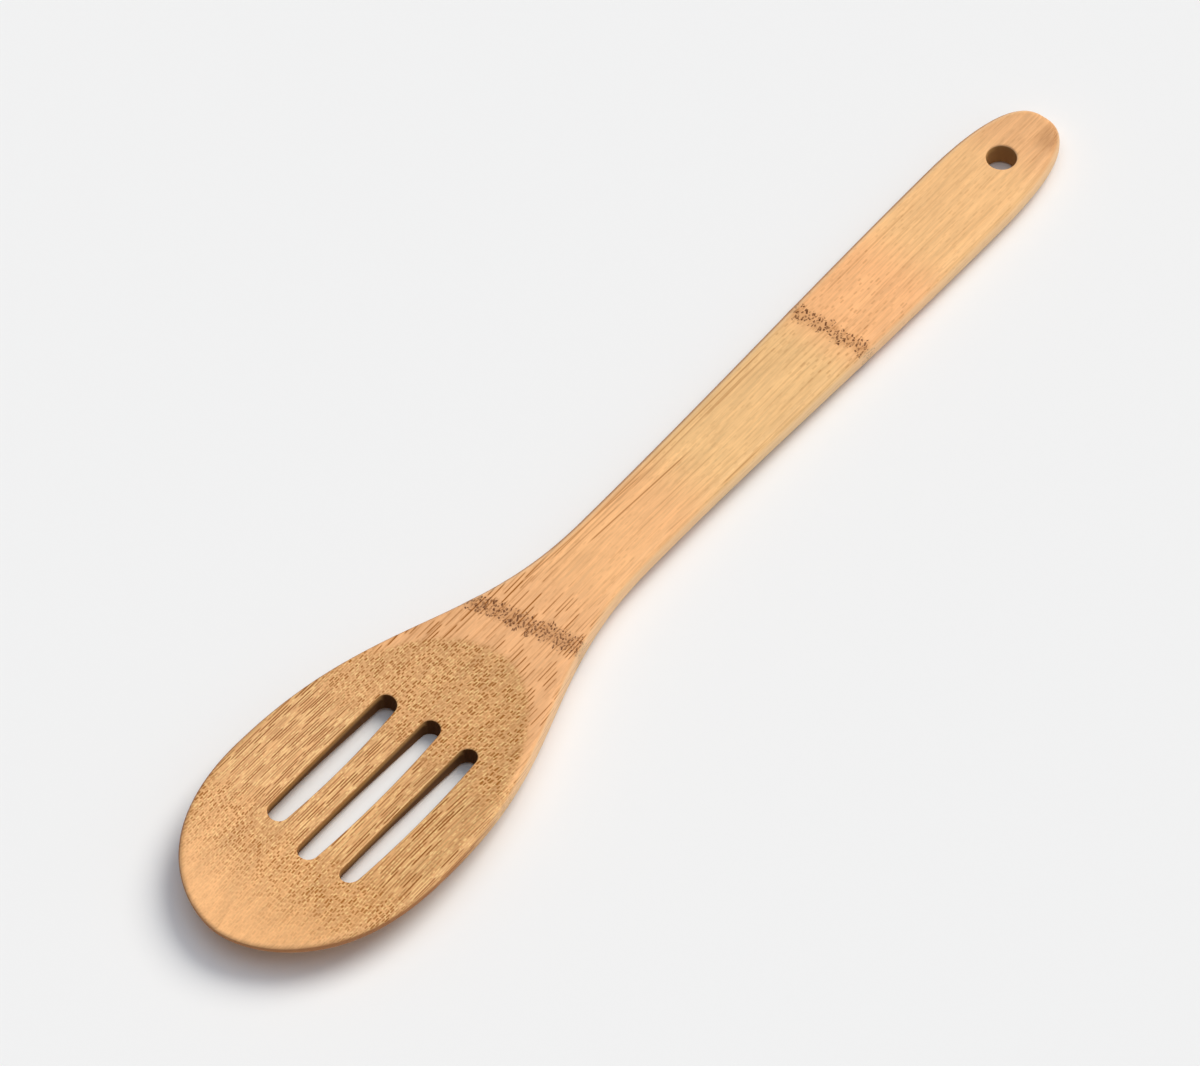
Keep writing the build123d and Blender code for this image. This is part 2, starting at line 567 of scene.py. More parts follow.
@dataclass(frozen=True)
class SpoonBody:
    """The carved spoon: one piece of bamboo with slots and a hanging hole.

    Spacings and borders are in millimetres. The limits of the roundings are shares of the
    wood's thickness, and the clearances are shares of the spacing and of the border.
    """

    carving: Carving = Carving()
    cuts: tuple[Slot | HangingHole, ...] = (
        Slot(station=53.0, side=11.7, length=42.0),
        Slot(station=51.9, side=0.0, length=46.8),
        Slot(station=51.7, side=-11.7, length=45.0),
        HangingHole(),
    )
    outline_spacing: float = 0.62
    cut_spacing: float = 0.42
    field_spacing: float = 0.85
    border: float = 3.0
    cut_border: float = 0.9
    border_shares: tuple[float, ...] = (1.0, 0.5)
    wall_shares: tuple[float, ...] = (0.33, 0.67)
    over_rings: int = 8
    below_rings: int = 7
    cut_edge_rings: int = 5
    grip_change: tuple[float, float] = (84.0, 128.0)
    over_limit: float = 0.52
    below_limit: float = 0.42
    field_half_width: float = 32.0
    field_clearance: float = 0.6
    cut_clearance: float = 0.8
    merge_distance: float = 1e-6

    def rounding(
        self,
        skin: Skin,
        loop: np.ndarray,
        inward: np.ndarray,
        radius: np.ndarray,
        count: int,
        over: bool,
    ) -> list[np.ndarray]:
        """Rounds the edge between a wall and the top face or the underside.

        Args:
            skin: The surface that takes the rings.
            loop: The wall's plan loop.
            inward: Its directions into the wood.
            radius: How far the rounding reaches at each point.
            count: How many rings it gets.
            over: Whether it is the top face's edge.

        Returns:
            The ring numbers, from the upper ring to the lower.
        """
        face, sign = (self.carving.top, -1.0) if over else (self.carving.under, 1.0)
        turns = np.radians(np.linspace(90.0, 0.0, count))
        rings = []
        for turn in turns if over else turns[::-1]:
            plan = loop + (radius * (1 - math.cos(turn)))[:, None] * inward
            height = face(*plan.T) + sign * radius * (1 - math.sin(turn))
            rings.append(skin.ring(plan, height))
        return rings

    def edge_rings(self, skin: Skin) -> tuple[np.ndarray, np.ndarray, np.ndarray]:
        """Builds the rounded outer edge from the top field round to the underside's.

        Args:
            skin: The surface that takes the rings.

        Returns:
            The plan loop shared by both fields, and the ring numbers above and below.
        """
        carve = self.carving
        loop = carve.plan.loop(self.outline_spacing)
        inward = -outward_normals(loop)
        grip = smooth_step(*self.grip_change, loop[:, 0])
        depth = carve.top(*loop.T) - carve.under(*loop.T)
        over = carve.bowl_top_round + grip * (carve.grip_top_round - carve.bowl_top_round)
        over = np.minimum(over, self.over_limit * depth)
        below = carve.grip_under_round - carve.bowl_under_round
        below = carve.bowl_under_round + grip * below
        below = np.minimum(below, self.below_limit * depth)
        rings = []
        for share in self.border_shares:
            plan = loop + (over + share * (self.border - over))[:, None] * inward
            rings.append(skin.ring(plan, carve.top(*plan.T)))
        rings += self.rounding(skin, loop, inward, over, self.over_rings, over=True)
        rings += self.rounding(skin, loop, inward, below, self.below_rings, over=False)
        for share in reversed(self.border_shares):
            plan = loop + (below + share * (self.border - below))[:, None] * inward
            rings.append(skin.ring(plan, carve.under(*plan.T)))
        for start, end in zip(rings, rings[1:]):
            skin.bridge(start, end, flip=False)
        return loop + self.border * inward, rings[0], rings[-1]

    def cut_rings(
        self, skin: Skin, cut: Slot | HangingHole
    ) -> tuple[np.ndarray, np.ndarray, np.ndarray]:
        """Builds one cut's wall with its softened edges.

        Args:
            skin: The surface that takes the rings.
            cut: The slot or hole.

        Returns:
            The plan loop shared by both fields, and the ring numbers above and below.
        """
        carve = self.carving
        loop = cut.loop(self.cut_spacing)
        inward = outward_normals(loop)
        soft = np.full(len(loop), cut.soft_edge)
        outer = loop + self.cut_border * inward
        rings = [skin.ring(outer, carve.top(*outer.T))]
        rings += self.rounding(skin, loop, inward, soft, self.cut_edge_rings, over=True)
        high = carve.top(*loop.T) - soft
        low = carve.under(*loop.T) + soft
        rings += [skin.ring(loop, high + share * (low - high)) for share in self.wall_shares]
        rings += self.rounding(skin, loop, inward, soft, self.cut_edge_rings, over=False)
        rings.append(skin.ring(outer, carve.under(*outer.T)))
        for start, end in zip(rings, rings[1:]):
            skin.bridge(start, end, flip=True)
        return outer, rings[0], rings[-1]

    @staticmethod
    def half_width(border: np.ndarray, station: np.ndarray) -> np.ndarray:
        """Gives the half width inside the outer loop.

        Args:
            border: The outer loop.
            station: Distances from the tip.

        Returns:
            Half of the loop's width at each.
        """
        side = border[1 : len(border) // 2]
        side = side[np.argsort(side[:, 0])]
        return np.interp(station, side[:, 0], -side[:, 1])

    def field_points(self, border: np.ndarray, loops: list[np.ndarray]) -> np.ndarray:
        """Scatters an even triangular grid over the wood between the loops.

        Args:
            border: The outer loop.
            loops: The cuts' loops.

        Returns:
            Plan points that keep clear of every loop.
        """
        gap, half = self.field_spacing, self.field_half_width
        rows = np.arange(-half, half, gap * math.sqrt(3) / 2)
        columns = np.arange(0.0, self.carving.plan.length, gap)
        indent = np.arange(len(rows)) % 2 * gap / 2
        station = (columns + indent[:, None]).ravel()
        side = np.repeat(rows, len(columns))
        ends = border[1 : len(border) // 2, 0]
        kept = (station > ends.min()) & (station < ends.max())
        kept &= np.abs(side) < self.half_width(border, station)
        kept &= ~self.in_cut(station, side)
        points = np.vstack([border, *loops])
        tree = KDTree(len(points))
        for number, point in enumerate(points):
            tree.insert((*point, 0.0), number)
        tree.balance()
        clear = self.field_clearance * gap
        grid = np.column_stack([station, side])[kept]
        return grid[[tree.find((*point, 0.0))[2] > clear for point in grid]]

    def in_cut(self, station: np.ndarray, side: np.ndarray) -> np.ndarray:
        """Tells which plan points lie over a slot or the hole.

        Args:
            station: Distances from the tip.
            side: Distances from the centre line.

        Returns:
            True for each point inside any cut's border.
        """
        inside = np.zeros(len(station), bool)
        for cut in self.cuts:
            half = cut.width / 2
            run = np.maximum(np.abs(station - cut.station) - (cut.length / 2 - half), 0.0)
            reach = half + self.cut_clearance * self.cut_border
            inside |= np.hypot(run, side - cut.side) < reach
        return inside

    def triangles(self, plan: np.ndarray, counts: list[int]) -> np.ndarray:
        """Joins the plan points into triangles that cover the wood only.

        Args:
            plan: The border's points, then each cut's, then the points between.
            counts: How many points the border and each cut have.

        Returns:
            Anticlockwise corners of each triangle, as numbers of plan points.
        """
        edges, owner, first = [], np.full(len(plan), -1), 0
        for number, count in enumerate(counts):
            last = first + count
            edges += [(i, i + 1) for i in range(first, last - 1)] + [(last - 1, first)]
            owner[first:last] = number
            first = last
        spots = [Vector(point) for point in plan]
        result = delaunay_2d_cdt(spots, edges, [], 0, self.merge_distance, True)
        origin = np.array([numbers[0] for numbers in result[3]])
        faces = origin[np.array(result[2])]
        owners = owner[faces]
        over_cut = (owners[:, 0] > 0) & (owners == owners[:, :1]).all(axis=1)
        middle = plan[faces].mean(axis=1)
        inside = np.abs(middle[:, 1]) < self.half_width(plan[: counts[0]], middle[:, 0])
        return faces[inside & ~over_cut]

    def build(self) -> bpy.types.Object:
        """Builds the spoon's mesh in plan millimetres.

        Returns:
            The new object, not yet laid down.
        """
        skin = Skin()
        border, top_ring, under_ring = self.edge_rings(skin)
        loops, tops, unders = [], [top_ring], [under_ring]
        for cut in self.cuts:
            loop, high, low = self.cut_rings(skin, cut)
            loops.append(loop)
            tops.append(high)
            unders.append(low)
        inner = self.field_points(border, loops)
        top_field = skin.ring(inner, self.carving.top(*inner.T))
        under_field = skin.ring(inner, self.carving.under(*inner.T))
        plan = np.vstack([border, *loops, inner])
        above = np.concatenate([*tops, top_field])
        below = np.concatenate([*unders, under_field])
        faces = self.triangles(plan, [len(ring) for ring in [border, *loops]])
        for upper, lower in zip(above[faces].tolist(), below[faces[:, ::-1]].tolist()):
            skin.faces += [tuple(upper), tuple(lower)]
        mesh = bpy.data.meshes.new("carved_spoon")
        mesh.from_pydata(np.vstack(skin.points).tolist(), [], skin.faces)
        mesh.shade_smooth()
        return add_object("carved_spoon", mesh)

    def lay_down(self, piece: bpy.types.Object) -> Matrix:
        """Lays the spoon on its belly and heel where its CAD node lies.

        Args:
            piece: The spoon in plan millimetres.

        Returns:
            The rigid move, with its scale, from plan millimetres to the frame's metres.
        """
        turn = Matrix.Rotation(self.carving.tilt(), 4, "Y") @ Matrix.Scale(MM, 4)
        spots = np.array([turn @ v.co for v in piece.data.vertices])
        low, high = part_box("spoon")
        shift = (low.x + high.x - spots[:, 0].min() - spots[:, 0].max()) / 2
        move = Matrix.Translation((shift, 0.0, low.z - spots[:, 2].min())) @ turn
        piece.data.transform(move)
        return move


class Board:
    """A node tree that is filled one node at a time."""

    def __init__(self, tree: bpy.types.NodeTree) -> None:
        """Empties the tree.

        Args:
            tree: A material's or world's node tree.
        """
        self.tree = tree
        tree.nodes.clear()

    def add(
        self,
        kind: str,
        *values: object,
        inputs: dict[int | str, object] | None = None,
        out: int | str = 0,
        **settings: object,
    ) -> Socket | None:
        """Adds one node with its settings and links.

        Args:
            kind: The node's type without its "ShaderNode" prefix.
            values: Values or sockets for the first inputs, in order.
            inputs: Values or sockets for inputs by name or number.
            out: Which output comes back.
            settings: The node's own properties.

        Returns:
            The asked output, or None where the node has no outputs.
        """
        node = self.tree.nodes.new("ShaderNode" + kind)
        for name, value in settings.items():
            setattr(node, name, value)
        for key, value in {**dict(enumerate(values)), **(inputs or {})}.items():
            if isinstance(value, bpy.types.NodeSocket):
                self.tree.links.new(value, node.inputs[key])
            else:
                node.inputs[key].default_value = value
        return node.outputs[out] if len(node.outputs) else None

    def parts(self, kind: str, whole: Socket) -> list[Socket]:
        """Takes a vector or a colour apart.

        Args:
            kind: The separating node's type.
            whole: The vector or colour.

        Returns:
            Its three parts.
        """
        return list(self.add(kind, whole).node.outputs)

    def calc(self, operation: str, *values: object) -> Socket:
        """Adds one calculation.

        Args:
            operation: What is worked out.
            values: Values or sockets, in order.

        Returns:
            The result.
        """
        return self.add("Math", *values, operation=operation)

    def product(self, first: object, *others: object) -> Socket:
        """Multiplies values.

        Args:
            first: The first value or socket.
            others: The rest.

        Returns:
            Their product.
        """
        for other in others:
            first = self.calc("MULTIPLY", first, other)
        return first

    def mix(self, share: object, under: object, over: object) -> Socket:
        """Lays one value over another.

        Args:
            share: How much of the upper value shows.
            under: The lower value.
            over: The upper value.

        Returns:
            The mixed value.
        """
        return self.add("Mix", inputs={0: share, 2: under, 3: over}, data_type="FLOAT")

    def lay(self, share: object, under: object, over: str | Socket) -> Socket:
        """Lays one colour over another.

        Args:
            share: How much of the upper colour shows.
            under: The lower colour.
            over: The upper colour, a socket or hex digits.

        Returns:
            The mixed colour.
        """
        if isinstance(over, str):
            over = linear(over)
        return self.add("Mix", inputs={0: share, 6: under, 7: over}, out=2, data_type="RGBA")


@dataclass(frozen=True)
class Step:
    """A soft step, which goes from start to end while its driver goes from low to high."""

    low: float
    high: float
    start: float = 0.0
    end: float = 1.0

    def of(self, board: Board, driver: Socket) -> Socket:
        """Adds the step.

        Args:
            board: The node tree.
            driver: The socket that drives the step.

        Returns:
            The eased value.
        """
        ends = (self.low, self.high, self.start, self.end)
        return board.add("MapRange", driver, *ends, interpolation_type="SMOOTHSTEP")


@dataclass(frozen=True)
class Grain:
    """A cloudy variation that is stretched along the fibres, in millimetres."""

    along: float
    across: float
    detail: float = 2.0
    roughness: float = 0.5

    def value(self, wood: Wood) -> Socket:
        """Adds the pattern.

        Args:
            wood: The bamboo's tree.

        Returns:
            A value about 0.5.
        """
        spot = wood.add(
            "CombineXYZ",
            wood.product(wood.station, 1 / self.along),
            wood.product(wood.lane, 1 / self.across),
            wood.product(wood.height, 1 / self.across),
        )
        settings = {"Scale": 1.0, "Detail": self.detail, "Roughness": self.roughness}
        return wood.add("TexNoise", spot, inputs=settings)


@dataclass(frozen=True)
class FibreLie:
    """How the fibres lie and vary. Wander and shiver are patterns' scales per millimetre."""

    drift: float = 1.1
    lean: float = 0.8
    wander: tuple[float, float, float] = (0.016, 0.03, 0.03)
    shiver: tuple[float, float, float] = (0.45, 0.8, 0.8)
    steep: Step = Step(0.80, 0.35)
    fine: Grain = Grain(along=12.0, across=0.40, detail=3.0, roughness=0.65)
    patches: Grain = Grain(along=20.0, across=8.0)
    ragged: Grain = Grain(along=33.0, across=2.8)


class Wood(Board):
    """The bamboo's node tree, with the sockets that every mark on it is drawn with.

    Station, side and height are the point's place in the plan, in millimetres. The lane runs
    across the fibres: it is the side, bent a little over the length, and it leans with the
    height, so that the fibres show as lines on the walls too. The sways shift the smallest
    marks. Steep, leftward and endward say how the surface faces.
    """

    def __init__(self, tree: bpy.types.NodeTree, move: Matrix, lie: FibreLie) -> None:
        """Adds the nodes that work the sockets out.

        Args:
            tree: The material's node tree.
            move: The move from plan millimetres to the frame's metres.
            lie: How the fibres lie.
        """
        super().__init__(tree)
        add, calc = self.add, self.calc
        back = move.inverted()
        settings = {
            "Location": back.translation,
            "Rotation": tuple(back.to_euler()),
            "Scale": back.to_scale(),
        }
        plan = add("Mapping", add("TexCoord", out="Object"), inputs=settings)
        self.station, self.side, self.height = self.parts("SeparateXYZ", plan)
        cloud = {"Scale": 1.0, "Detail": 1.0}
        spot = add("VectorMath", plan, lie.wander, operation="MULTIPLY")
        wander = add("TexNoise", spot, inputs=cloud)
        wander = calc("MULTIPLY_ADD", wander, 2 * lie.drift, -lie.drift)
        self.lane = calc("MULTIPLY_ADD", self.height, lie.lean, calc("ADD", self.side, wander))
        spot = add("VectorMath", plan, lie.shiver, operation="MULTIPLY")
        shiver = add("TexNoise", spot, inputs=cloud, out="Color")
        sways = self.parts("SeparateColor", shiver)[:2]
        self.lane_sway, self.station_sway = (calc("ADD", sway, -0.5) for sway in sways)
        endward, leftward, upright = self.parts("SeparateXYZ", add("NewGeometry", out="Normal"))
        self.endward = calc("ABSOLUTE", endward)
        self.leftward = leftward
        self.steep = lie.steep.of(self, calc("ABSOLUTE", upright))
        grains = (lie.fine, lie.patches, lie.ragged)
        self.fine, self.patches, self.ragged = (grain.value(self) for grain in grains)


@dataclass(frozen=True)
class FibreRows:
    """Fibre bundles that the cut lays bare, in rows along the spoon.

    Pitch, width, length and sway are in millimetres. Fill, stagger, jitter, softness and the
    shares count in cells, which are one pitch wide and one length long.
    """

    pitch: float
    width: float
    length: float
    fill: float
    stagger: float
    weakest: float
    seed: float = 0.0
    jitter: float = 0.25
    softness: float = 0.12
    sway: float = 0.0
    lane_shift: float = 0.5
    core_share: float = 0.12
    edge_share: float = 0.85
    shortest_share: float = 0.6
    length_spread: float = 0.6
    strengths: tuple[float, float] = (0.15, 0.9)

    def mask(self, wood: Wood) -> Socket:
        """Adds the pattern.

        Args:
            wood: The bamboo's tree.

        Returns:
            A value of 1 on the darkest bundle and 0 between the bundles.
        """
        add, calc = wood.add, wood.calc
        lane = calc("MULTIPLY_ADD", wood.lane_sway, self.sway, wood.lane)
        lane = calc("MULTIPLY_ADD", lane, 1 / self.pitch, self.seed)
        lane_number = calc("FLOOR", lane)
        chance = add("TexWhiteNoise", inputs={"W": lane_number}, noise_dimensions="1D")
        shift = calc("MULTIPLY", lane_number, self.lane_shift)
        shift = calc("MULTIPLY_ADD", chance, self.stagger, shift)
        run = calc("MULTIPLY_ADD", wood.station_sway, 2 * self.sway, wood.station)
        cell = calc("MULTIPLY_ADD", run, 1 / self.length, shift)
        cell_number = calc("FLOOR", cell)
        key = add("CombineXYZ", cell_number, lane_number, self.seed)
        dice = add("TexWhiteNoise", key, noise_dimensions="3D", out="Color")
        first, second, third = wood.parts("SeparateColor", dice)

        across = calc("SUBTRACT", lane, lane_number)
        across = calc("MULTIPLY_ADD", first, self.jitter, across)
        across = calc("ABSOLUTE", calc("ADD", across, -0.5 - self.jitter / 2))
        share = self.width / self.pitch
        flank = Step(self.core_share * share, self.edge_share * share, 1.0, 0.0)

        reach = calc("MULTIPLY_ADD", second, self.length_spread, self.shortest_share)
        reach = wood.product(reach, self.fill / 2)
        run = calc("SUBTRACT", cell, cell_number)
        run = calc("SUBTRACT", reach, calc("ABSOLUTE", calc("ADD", run, -0.5)))
        tail = Step(0.0, self.softness)
        strength = Step(*self.strengths, self.weakest)
        return wood.product(flank.of(wood, across), tail.of(wood, run), strength.of(wood, third))


@dataclass(frozen=True)
class Streak:
    """One fibre streak that stands out, from a start to an end on the top face."""

    start: float
    end: float
    side: float
    end_side: float
    half_width: float
    strength: float
    fade_in: float = 3.0
    fade_out: float = 6.0

    def mask(self, wood: Wood) -> Socket:
        """Adds the streak.

        Args:
            wood: The bamboo's tree.

        Returns:
            Its strength on the streak and 0 beside it.
        """
        line = wood.add("MapRange", wood.station, self.start, self.end, self.side, self.end_side)
        off = wood.calc("ABSOLUTE", wood.calc("SUBTRACT", wood.side, line))
        width = Step(0.0, 2 * self.half_width, 1.0, 0.0).of(wood, off)
        full = self.start + self.fade_in
        run = wood.add("MapRange", wood.station, self.start, full, 0.0, self.strength)
        stop = wood.add("MapRange", wood.station, self.end - self.fade_out, self.end, 1.0, 0.0)
        return wood.product(width, run, stop)


# Start, end, side, side at the end, half width and strength
STREAKS = (
    Streak(133.0, 171.0, 3.9, 2.4, 0.17, 0.75),
    Streak(112.0, 160.0, 8.6, 6.6, 0.15, 0.60),
    Streak(124.0, 206.0, 7.4, 7.9, 0.15, 0.60),
    Streak(120.0, 150.0, 6.0, 5.2, 0.15, 0.50),
    Streak(150.0, 198.0, 6.0, 6.6, 0.15, 0.45),
    Streak(165.0, 183.0, -9.0, -9.3, 0.16, 0.55),
    Streak(214.0, 221.0, -9.2, -9.8, 0.30, 0.75),
    Streak(150.0, 176.0, -1.8, -2.3, 0.15, 0.35),
    Streak(146.0, 158.0, -8.0, -8.4, 0.16, 0.40),
)


# Where along the handle each ground colour takes over from the one before
TINTS = (
    (Step(74.0, 88.0), "E9AF7A"),
    (Step(112.0, 130.0), "F0B67D"),
    (Step(150.0, 172.0), "EABB80"),
    (Step(206.0, 220.0), "F3B57C"),
    (Step(236.0, 252.0), "F0BC81"),
    (Step(276.0, 290.0), "E8B07A"),
)


@dataclass(frozen=True)
class HollowZone:
    """Where the bowl is hollowed, and where the hollow runs along the fibres."""

    station: float = 47.0
    half_length: float = 50.5
    half_width: float = 28.6
    oval_edge: Step = Step(1.03, 0.93)
    rim_lean: float = -0.8
    right_side: Step = Step(2.0, -2.0, 0.0, 10.0)
    rim_edge: Step = Step(66.0, 54.0)
    lowest_station: float = 48.5
    raggedness: float = 14.0
    lowest_edge: Step = Step(28.0, 20.0)

    def mark(self, wood: Wood) -> tuple[Socket, Socket]:
        """Marks the hollow.

        Args:
            wood: The bamboo's tree.

        Returns:
            The share of the hollow, and the share that is cut along the fibres instead of down
            through them.
        """
        calc = wood.calc
        long = self.half_length
        run = calc("MULTIPLY_ADD", wood.station, 1 / long, -self.station / long)
        off = calc("MULTIPLY", wood.side, 1 / self.half_width)
        oval = calc("MULTIPLY_ADD", run, run, calc("MULTIPLY", off, off))
        rim = calc("MULTIPLY_ADD", calc("ABSOLUTE", wood.side), self.rim_lean, wood.station)
        rim = calc("ADD", rim, self.right_side.of(wood, wood.side))
        rim = self.rim_edge.of(wood, rim)
        bowl = calc("MAXIMUM", self.oval_edge.of(wood, oval), rim)
        middle = calc("ABSOLUTE", calc("ADD", wood.station, -self.lowest_station))
        middle = calc("MULTIPLY_ADD", wood.ragged, self.raggedness, middle)
        return bowl, self.lowest_edge.of(wood, middle)


@dataclass(frozen=True)
class FibreBundles:
    """The fibre bundles of each part of the spoon, and where they fade."""

    # Pitch, width, length, fill, stagger, weakest and seed. A culm's bundles lie some 0.7 mm
    # apart. The grip's lines are drawn coarser, as only its darkest bundles stand out.
    dots: FibreRows = FibreRows(0.64, 0.42, 1.6, 0.94, 1.3, 0.35, 0.0, softness=0.14, sway=0.5)
    # Pale flecks: partly pale fibres, partly painted glints
    pale_and_glint_dots: FibreRows = FibreRows(0.64, 0.34, 1.6, 0.80, 1.3, 0.1, 31.5, softness=0.14, sway=0.5)
    long_cuts: FibreRows = FibreRows(0.62, 0.32, 11.0, 0.97, 7.0, 0.4, 7.0)
    # Pale cuts: partly pale fibres, partly painted glints
    glint_and_pale_cuts: FibreRows = FibreRows(0.71, 0.28, 9.0, 0.95, 5.0, 0.3, 53.0)
    neck_lines: FibreRows = FibreRows(0.92, 0.29, 9.5, 0.9, 5.0, 0.1, 83.0)
    grip_lines: FibreRows = FibreRows(1.35, 0.42, 46.0, 0.85, 9.0, 0.05, 17.0)
    flecks: FibreRows = FibreRows(0.8, 0.42, 3.4, 0.55, 6.0, 0.1, 61.0)
    dots_fade: Step = Step(6.0, 26.0, 0.16, 0.95)
    pale_and_glint_fade: Step = Step(6.0, 26.0, 0.1, 0.65)
    long_share: float = 0.97
    glint_and_pale_share: float = 0.62
    neck_fade: Step = Step(128.0, 112.0, 0.14, 1.0)
    grip_fade: Step = Step(1.0, 7.0, 0.18, 0.40)
    before_knot: Step = Step(196.0, 214.0, 0.4, 1.0)
    past_knot: Step = Step(250.0, 228.0, 0.4, 1.0)
    in_patches: Step = Step(0.40, 0.60, 0.5, 1.0)
    fleck_share: float = 0.38

    def bright(self, wood: Wood, lowest: Socket) -> Socket:
        """Marks the pale fibres between the dark bundles of the hollow, partly pale tissue and
        partly painted glints of the sanded relief.

        Args:
            wood: The bamboo's tree.
            lowest: The share that is cut along the fibres.

        Returns:
            How pale each fibre is, painted glint included.
        """
        cuts = wood.product(self.glint_and_pale_cuts.mask(wood), lowest, self.glint_and_pale_share)
        fade = self.pale_and_glint_fade.of(wood, wood.station)
        return wood.calc("MAXIMUM", cuts, wood.product(self.pale_and_glint_dots.mask(wood), fade))

    def dark(self, wood: Wood, bowl: Socket, lowest: Socket) -> Socket:
        """Marks the dark bundles: dots and long cuts in the hollow, lines along the grip.

        Args:
            wood: The bamboo's tree.
            bowl: The share of the hollow.
            lowest: The share that is cut along the fibres.

        Returns:
            How dark each bundle is.
        """
        dots = wood.product(self.dots.mask(wood), self.dots_fade.of(wood, wood.station))
        cuts = wood.product(self.long_cuts.mask(wood), self.long_share)
        left = self.grip_fade.of(wood, wood.side)
        grip = wood.product(self.grip_lines.mask(wood), left)
        by_neck = self.neck_fade.of(wood, wood.station)
        grip = wood.calc("MULTIPLY_ADD", self.neck_lines.mask(wood), by_neck, grip)
        by_knot = wood.product(
            self.before_knot.of(wood, wood.station),
            self.past_knot.of(wood, wood.station),
            self.in_patches.of(wood, wood.patches),
            self.fleck_share,
        )
        grip = wood.calc("MULTIPLY_ADD", self.flecks.mask(wood), by_knot, grip)
        for streak in STREAKS:
            grip = wood.calc("MAXIMUM", grip, streak.mask(wood))
        return wood.mix(bowl, grip, wood.mix(lowest, dots, cuts))


@dataclass(frozen=True)
class KnotBands:
    """The knots: crowded ragged bands of dark specks on a browned ground, in millimetres."""

    wobble: float = 4.0
    outer_share: float = 1.7
    inner_share: float = 0.4
    warp: float = 3.0
    cell_length: float = 0.80
    cell_width: float = 0.52
    core: Step = Step(0.28, 0.62, 1.0, 0.0)
    chosen: Step = Step(0.7, 1.1)
    margin: Step = Step(0.02, 0.2)
    strength: Step = Step(0.0, 1.0, 0.6, 1.0)

    def mark(self, wood: Wood) -> tuple[Socket, Socket]:
        """Marks the bands and their specks.

        Args:
            wood: The bamboo's tree.

        Returns:
            The bands, and the specks in them.
        """
        calc = wood.calc
        wobble = calc("MULTIPLY_ADD", wood.ragged, self.wobble, -self.wobble / 2)
        bands = []
        for line in KNOT_LINES:
            off = calc("MULTIPLY_ADD", wood.side, -line.slant, wood.station)
            off = calc("ADD", calc("ADD", off, -line.station), wobble)
            ends = (self.outer_share * line.half_width, self.inner_share * line.half_width)
            bands.append(Step(*ends, 0.0, line.crowding).of(wood, calc("ABSOLUTE", off)))
        band = bands[0]
        for near in bands[1:]:
            band = calc("MAXIMUM", band, near)
        warp = wood.product(wood.station_sway, self.warp)
        spot = wood.add(
            "CombineXYZ",
            calc("MULTIPLY_ADD", wood.station, 1 / self.cell_length, warp),
            calc("MULTIPLY_ADD", wood.lane, 1 / self.cell_width, warp),
            wood.product(wood.height, 1 / self.cell_width),
        )
        settings = {"Scale": 1.0, "Randomness": 1.0}
        off = wood.add("TexVoronoi", spot, inputs=settings, out="Distance")
        dice = wood.add("TexVoronoi", spot, inputs=settings, out="Color")
        dice = wood.add("SeparateColor", dice)
        chosen = self.chosen.of(wood, calc("ADD", band, dice))
        chosen = wood.product(chosen, self.margin.of(wood, band))
        core = self.core.of(wood, off)
        return band, wood.product(core, chosen, self.strength.of(wood, dice))


@dataclass(frozen=True)
class HandStain:
    """The grey-brown stain that hands leave on the butt."""

    colour: str = "A06A3A"
    side: float = -5.6
    end: Step = Step(289.0, 294.0)
    reach: Step = Step(1.0, 4.5, 1.0, 0.0)
    blotches: Step = Step(0.3, 0.7, 0.2, 0.75)

    def over(self, wood: Wood, colour: Socket) -> Socket:
        """Stains the wood.

        Args:
            wood: The bamboo's tree.
            colour: The colour so far.

        Returns:
            The stained colour.
        """
        calc = wood.calc
        off = calc("ABSOLUTE", calc("ADD", wood.side, -self.side))
        share = wood.product(
            self.end.of(wood, wood.station),
            self.reach.of(wood, off),
            self.blotches.of(wood, wood.fine),
        )
        return wood.lay(share, colour, self.colour)


@dataclass(frozen=True)
class PaintedEdgeLight:
    """Painted highlights on the steep edge walls from the bowl's shoulder along the grip and on the
    grip's left rounding, and painted shade on the bowl's steep walls and on the walls that face
    left.
    """

    # Colours of the painted highlights and the painted shade
    painted_highlight: str = "F9D4A6"
    painted_shade: str = "A4683A"
    pale: Step = Step(45.0, 80.0, 0.05, 0.55)
    front: Step = Step(66.0, 40.0, 0.0, 0.85)
    grip: Step = Step(95.0, 115.0, 0.0, 0.35)
    left_painted_highlight: Step = Step(0.10, 0.45)
    left_painted_shade: Step = Step(0.42, 0.72, 0.0, 0.75)

    def over(self, wood: Wood, colour: Socket) -> Socket:
        """Paints highlights and shade on the edges.

        Args:
            wood: The bamboo's tree.
            colour: The colour so far.

        Returns:
            The colour with painted highlights and painted shade on its edges.
        """
        # Painted highlight: steep walls lightened from the bowl's shoulder along the grip
        pale = wood.product(wood.steep, self.pale.of(wood, wood.station))
        colour = wood.lay(pale, colour, self.painted_highlight)
        # Painted shade: steep walls darkened towards the bowl's front
        front = self.front.of(wood, wood.station)
        front = wood.product(wood.steep, wood.steep, front)
        colour = wood.lay(front, colour, self.painted_shade)
        # Painted highlight: the grip's left rounding lightened against its own shading
        left = self.left_painted_highlight.of(wood, wood.leftward)
        left = wood.product(left, self.grip.of(wood, wood.station))
        colour = wood.lay(left, colour, self.painted_highlight)
        # Painted shade: walls that face left darkened
        return wood.lay(self.left_painted_shade.of(wood, wood.leftward), colour, self.painted_shade)


